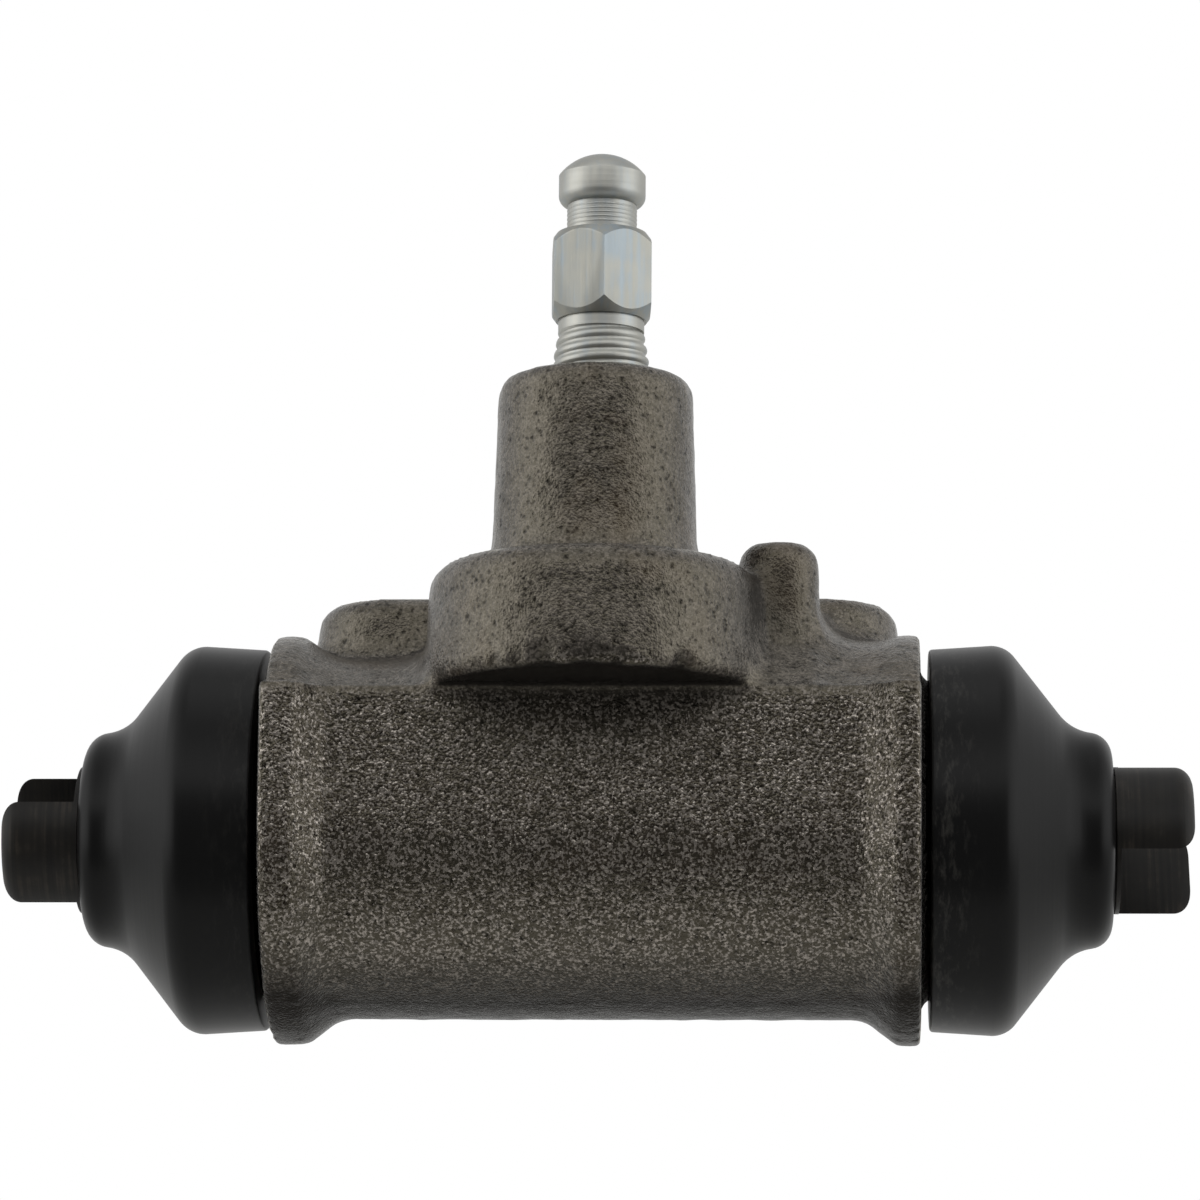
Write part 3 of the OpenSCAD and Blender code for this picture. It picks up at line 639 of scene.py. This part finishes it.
def ring_neck(bm):
    """Adds a closed sleeve over the neck, whose outside has the lathe's rings."""
    steps = NECK_RINGS * RING_POINTS
    rise = (NECK_HIGH - NECK_LOW) / steps
    section = [(NECK_R - NECK_RING_HEIGHT * math.cos(i * 2 * math.pi / RING_POINTS), NECK_LOW + i * rise)
               for i in range(steps + 1)]
    section += [(NECK_SLEEVE_R, NECK_HIGH), (NECK_SLEEVE_R, NECK_LOW)]
    verts = [bm.verts.new((BLEEDER_X + r, BLEEDER_Y, TOWER_TOP + z)) for r, z in section]
    edges = [bm.edges.new(pair) for pair in zip(verts, verts[1:] + verts[:1])]
    bmesh.ops.spin(bm, geom=verts + edges, cent=(BLEEDER_X, BLEEDER_Y, 0), axis=(0, 0, 1), angle=2 * math.pi,
                   steps=THREAD_STEPS, use_merge=True)


def bleeder(material):
    """The screw: the imported solid above and below the thread, the rolled thread between, and the ringed neck.
    """
    low = TOWER_TOP - THREAD_SUNK
    high = TOWER_TOP + THREAD_OUT + THREAD_LAP
    bm = rolled_thread(low, high)
    ring_neck(bm)
    bmesh.ops.recalc_face_normals(bm, faces=bm.faces)
    for height, above in ((high, True), (low, False)):
        part = merged_copy("bleeder_screw")
        bmesh.ops.bridge_loops(part, edges=cut_part(part, (0, 0, height), (0, 0, 1), above))
        join_flats(part)
        held = mesh_from("screw_part", part)
        bm.from_mesh(held)
        bpy.data.meshes.remove(held)
    piece = new_piece("bleeder", bm, material)
    ease_edges(piece, SCREW_EASE)
    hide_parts("bleeder_screw")
    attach(piece, "bleeder")


# The pistons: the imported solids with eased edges

PISTON_EASE = 0.18 * MM


def piston(side, material):
    node = side + "_piston"
    bm = merged_copy(node)
    join_flats(bm)
    piece = new_piece(side + "_slotted_piston", bm, material)
    ease_edges(piece, PISTON_EASE)
    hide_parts(node)
    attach(piece, side + "_piston_set")


# The boots: spun shells that reach from the casting to a piston. Sizes in millimetres

BOOT_LENGTH = (BOOT_HIGH.x - BOOT_LOW.x) / MM
BOOT_R = (BOOT_HIGH.z - BOOT_LOW.z) / 2 / MM
BOOT_MOUTH_R = 15.75
BOOT_MOUTH_EDGE = 0.3
BOOT_SHOULDER = 2.4
BOOT_SLOPE = math.radians(52)
BOOT_NOSE_R = 8.9
BOOT_NOSE_EDGE = 1.9
BOOT_NOSE_FILLET = 4
BOOT_NOSE_LENGTH = 3.1
BOOT_WALL = 1.6
BOOT_INNER_R = 13.3
BOOT_LIP_R = 5.65
BOOT_LIP = 1.6
BOOT_LIP_EDGE = 0.2
# The longest step along the section, and the steps round it
BOOT_STEP = 0.7
BOOT_STEPS = 144
# A stretch along the bore from a boot's mouth; the boot's places at its ends are worked out, but nothing uses
# them
BOOT_GIVE = (2, 12.5)
# How grey each boot is worn at its mouth, and how far the wear reaches
BOOT_WEAR = {"left": 0.15, "right": 0.5}
BOOT_WEAR_REACH = 4.5


def arc(centre, radius, start, end, steps=10):
    """Points on an arc as (along, out), at angles from the bore's direction."""
    turns = [start + (end - start) * i / steps for i in range(steps + 1)]
    return [(centre[0] + radius * math.cos(t), centre[1] + radius * math.sin(t)) for t in turns]


def boot_section():
    """The boot's closed section as (distance from its mouth, radius): its outside, then its inside."""
    quarter = math.pi / 2
    lean = quarter - BOOT_SLOPE
    across, out = math.cos(lean), math.sin(lean)
    edge = (BOOT_LENGTH - BOOT_NOSE_EDGE, BOOT_NOSE_R - BOOT_NOSE_EDGE)
    reach = across * (BOOT_LENGTH - BOOT_NOSE_LENGTH) + out * BOOT_NOSE_R
    curve = BOOT_NOSE_FILLET + BOOT_NOSE_EDGE
    turn = lean + math.acos((reach + BOOT_NOSE_FILLET - across * edge[0] - out * edge[1]) / curve)
    hollow = (edge[0] + curve * math.cos(turn), edge[1] + curve * math.sin(turn))
    shoulder_r = BOOT_R - BOOT_SHOULDER
    shoulder = ((reach - BOOT_SHOULDER - out * shoulder_r) / across, shoulder_r)
    inside = reach - BOOT_WALL
    nose_hollow_r = BOOT_NOSE_R - BOOT_WALL
    mouth = (BOOT_MOUTH_EDGE, BOOT_MOUTH_R - BOOT_MOUTH_EDGE)
    points = arc(mouth, BOOT_MOUTH_EDGE, 2 * quarter, quarter, steps=4)
    points += arc(shoulder, BOOT_SHOULDER, quarter, lean)
    points += arc(hollow, BOOT_NOSE_FILLET, math.pi + lean, math.pi + turn)
    points += arc(edge, BOOT_NOSE_EDGE, turn, 0)[1:]
    points += [(BOOT_LENGTH, BOOT_LIP_R + BOOT_LIP_EDGE), (BOOT_LENGTH - BOOT_LIP_EDGE, BOOT_LIP_R)]
    points += [(BOOT_LENGTH - BOOT_LIP, BOOT_LIP_R), (BOOT_LENGTH - BOOT_LIP, nose_hollow_r)]
    points += [((inside - out * r) / across, r) for r in (nose_hollow_r, BOOT_INNER_R)]
    points += [(0, BOOT_INNER_R)]
    return points


def boot(side, sign, material):
    """One boot, with its mouth at the flange and its nose on the piston's stub."""
    mouth = sign * BOOT_LOW.x
    bm = bmesh.new()
    section = []
    points = boot_section()
    for start, end in zip(points, points[1:] + points[:1]):
        count = max(1, math.ceil(math.dist(start, end) / BOOT_STEP))
        section += [Vector(start).lerp(Vector(end), i / count) for i in range(count)]
    verts = [bm.verts.new((mouth + sign * p.x * MM, BORE_Y, BORE_Z + p.y * MM)) for p in section]
    edges = [bm.edges.new(pair) for pair in zip(verts, verts[1:] + verts[:1])]
    bmesh.ops.spin(bm, geom=verts + edges, cent=(0, BORE_Y, BORE_Z), axis=(1, 0, 0), angle=2 * math.pi,
                   steps=BOOT_STEPS, use_merge=True)
    bmesh.ops.remove_doubles(bm, verts=bm.verts, dist=MERGE_DISTANCE)
    bmesh.ops.recalc_face_normals(bm, faces=bm.faces)
    worn = bm.verts.layers.float.new("worn")
    for vert in bm.verts:
        vert[worn] = BOOT_WEAR[side] * max(0, 1 - abs(vert.co.x - mouth) / (BOOT_WEAR_REACH * MM))
    piece = new_piece(side + "_dust_boot", bm, material)
    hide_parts(side + "_boot")
    start, end = [(mouth + sign * x * MM, BORE_Y, BORE_Z) for x in BOOT_GIVE]
    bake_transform(piece)


def coil_spring(material):
    """The spring between the cup expanders, cut in two halves that meet in the middle."""
    low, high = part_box("return_spring")
    for side, sign, far in (("left", -1, low.x), ("right", 1, high.x)):
        bm = merged_copy("return_spring")
        bmesh.ops.holes_fill(bm, edges=cut_part(bm, (0, 0, 0), (sign, 0, 0), True))
        bmesh.ops.recalc_face_normals(bm, faces=bm.faces)
        piece = new_piece(side + "_half_spring", bm, material)
        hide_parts("return_spring")
        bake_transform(piece)


# Camera, light and floor

# The photo's view, with its angles in degrees
VIEW_AZIMUTH = 2.7
VIEW_ELEVATION = -11.2
VIEW_ROLL = 0.44
VIEW_DISTANCE = 450 * MM
VIEW_WIDTH = 100.07 * MM
VIEW_TARGET = Vector((0.02, -7.0, -0.34)) * MM
SENSOR_WIDTH = 36.0
CLIP_START = 0.01


def camera():
    across, up = math.radians(VIEW_AZIMUTH), math.radians(VIEW_ELEVATION)
    back = Vector((math.sin(across) * math.cos(up), -math.cos(across) * math.cos(up), math.sin(up)))
    lens = bpy.data.cameras.new("camera")
    lens.sensor_width = SENSOR_WIDTH
    lens.lens = SENSOR_WIDTH * VIEW_DISTANCE / VIEW_WIDTH
    lens.clip_start = CLIP_START
    eye = add_object("camera", lens)
    turn = (-back).to_track_quat("-Z", "Y").to_matrix().to_4x4()
    roll = Matrix.Rotation(math.radians(VIEW_ROLL), 4, "Z")
    eye.matrix_world = Matrix.Translation(VIEW_TARGET + back * VIEW_DISTANCE) @ turn @ roll
    bpy.context.scene.camera = eye


# The lamp above the part: where it hangs, how wide and deep it is, and its watts
TOP_BOX_PLACE = (0.0, -0.1, 0.7)
TOP_BOX_SIZE = (0.5, 0.4)
TOP_BOX_POWER = 0.4


def soft_box(name, place, size, power):
    """A flat lamp that faces the part."""
    lamp = bpy.data.lights.new(name, "AREA")
    lamp.shape = "RECTANGLE"
    lamp.size, lamp.size_y = size
    lamp.energy = power
    holder = add_object(name, lamp)
    holder.location = place
    holder.rotation_euler = (Vector((0, BORE_Y, 0)) - Vector(place)).to_track_quat("-Z", "Y").to_euler()


# How bright the tent's parts are, and last what the camera sees, where 1 is white
LEFT_LIGHT = 2.4
RIGHT_LIGHT = 2.2
ROOF_LIGHT = 2.0
BACK_LIGHT = 0.8
TOP_LIGHT = 0.6
LOW_LIGHT = 0.4
OPENING_LIGHT = 0.2
SEEN_LIGHT = 1.0
# Where the tent's parts fade into each other, as spans of a direction's x, y or z. The opening in front reaches
# about 50 degrees to each side and 22 degrees up
OPENING_SIDES = (0.72, 0.8)
OPENING_TOP = (0.32, 0.42)
OPENING_FRONT = (-0.4, -0.2)
FLANK_FADE = (-0.5, 0.5)
BACK_FADE = (-0.1, 0.4)
TOP_FADE = (0.5, 0.9)
LOW_FADE = (-0.3, -0.05)


def white_surround():
    """A white tent round the part, open in front where the camera stands. The camera sees plain white instead,
    also through glass, while metal shows the tent."""
    world = bpy.data.worlds.new("surround")
    bpy.context.scene.world = world
    world.use_nodes = True
    tree = world.node_tree
    tree.nodes.clear()
    ray = add_node(tree, "ShaderNodeLightPath").outputs
    towards = add_node(tree, "ShaderNodeTexCoord").outputs["Generated"]
    axes = add_node(tree, "ShaderNodeSeparateXYZ", {"Vector": towards}).outputs
    sides = fade(tree, reckon(tree, "ABSOLUTE", axes["X"]), OPENING_SIDES, start=1.0, end=0.0)
    under_roof = fade(tree, axes["Z"], OPENING_TOP, start=sides, end=0.0)
    opening = fade(tree, axes["Y"], OPENING_FRONT, start=under_roof, end=0.0)
    flanks = fade(tree, axes["X"], FLANK_FADE, start=LEFT_LIGHT, end=RIGHT_LIGHT)
    walls = fade(tree, sides, start=flanks, end=ROOF_LIGHT)
    behind = fade(tree, axes["Y"], BACK_FADE, start=walls, end=BACK_LIGHT)
    above = fade(tree, axes["Z"], TOP_FADE, start=behind, end=TOP_LIGHT)
    light = fade(tree, axes["Z"], LOW_FADE, start=LOW_LIGHT, end=above)
    strength = fade(tree, opening, start=light, end=OPENING_LIGHT)
    tent, white = [add_node(tree, "ShaderNodeBackground", {"Color": (1, 1, 1, 1), "Strength": level})
                   for level in (strength, SEEN_LIGHT)]
    seen = reckon(tree, "MAXIMUM", ray["Is Camera Ray"], ray["Is Transmission Ray"])
    mixed = add_node(tree, "ShaderNodeMixShader", {
        0: seen, 1: tent.outputs["Background"], 2: white.outputs["Background"]})
    add_node(tree, "ShaderNodeOutputWorld", {"Surface": mixed.outputs["Shader"]})


FLOOR_Z = -105 * MM
FLOOR_SIZE = 8.0
FLOOR_FRONT = -105 * MM


def pale_floor():
    """Two sheets that meet in front of the part. The front one shows to the camera but not in the part's shine,
    in which the photo's floor ends there."""
    material, tree = new_material("pale_floor")
    finish_material(tree, {"Base Color": linear("#e6e6e4"), "Roughness": 0.8})
    half = FLOOR_SIZE / 2
    for name, middle in (("floor", FLOOR_FRONT + half), ("front_floor", FLOOR_FRONT - half)):
        bm = bmesh.new()
        bmesh.ops.create_grid(bm, x_segments=1, y_segments=1, size=half)
        bmesh.ops.translate(bm, verts=bm.verts, vec=(0, middle, FLOOR_Z))
        floor = add_object(name, mesh_from(name, bm))
        coat(floor.data, material)
        if name == "front_floor":
            floor.visible_glossy = floor.visible_diffuse = floor.visible_shadow = False


def main():
    cast_body(sand_cast_iron())
    bleeder(zinc_plated_steel())
    oxide = black_oxide_steel()
    boot_rubber = moulded_rubber("moulded_boot_rubber", roughness=0.32)
    seal_rubber = moulded_rubber("moulded_seal_rubber", roughness=0.3)
    pressed = drawn_steel("pressed_steel", "#8f8f8c", "#a6a6a3")
    coil_spring(drawn_steel("spring_wire", "#82827f", "#9b9b98"))
    for side, sign in (("left", -1), ("right", 1)):
        piston(side, oxide)
        boot(side, sign, boot_rubber)
        coat(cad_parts[side + "_cup"].data, seal_rubber)
        coat(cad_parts[side + "_cup_expander"].data, pressed)
    camera()
    soft_box("top_box", TOP_BOX_PLACE, TOP_BOX_SIZE, TOP_BOX_POWER)
    white_surround()
    pale_floor()
    bpy.context.scene.view_settings.view_transform = "Standard"


main()
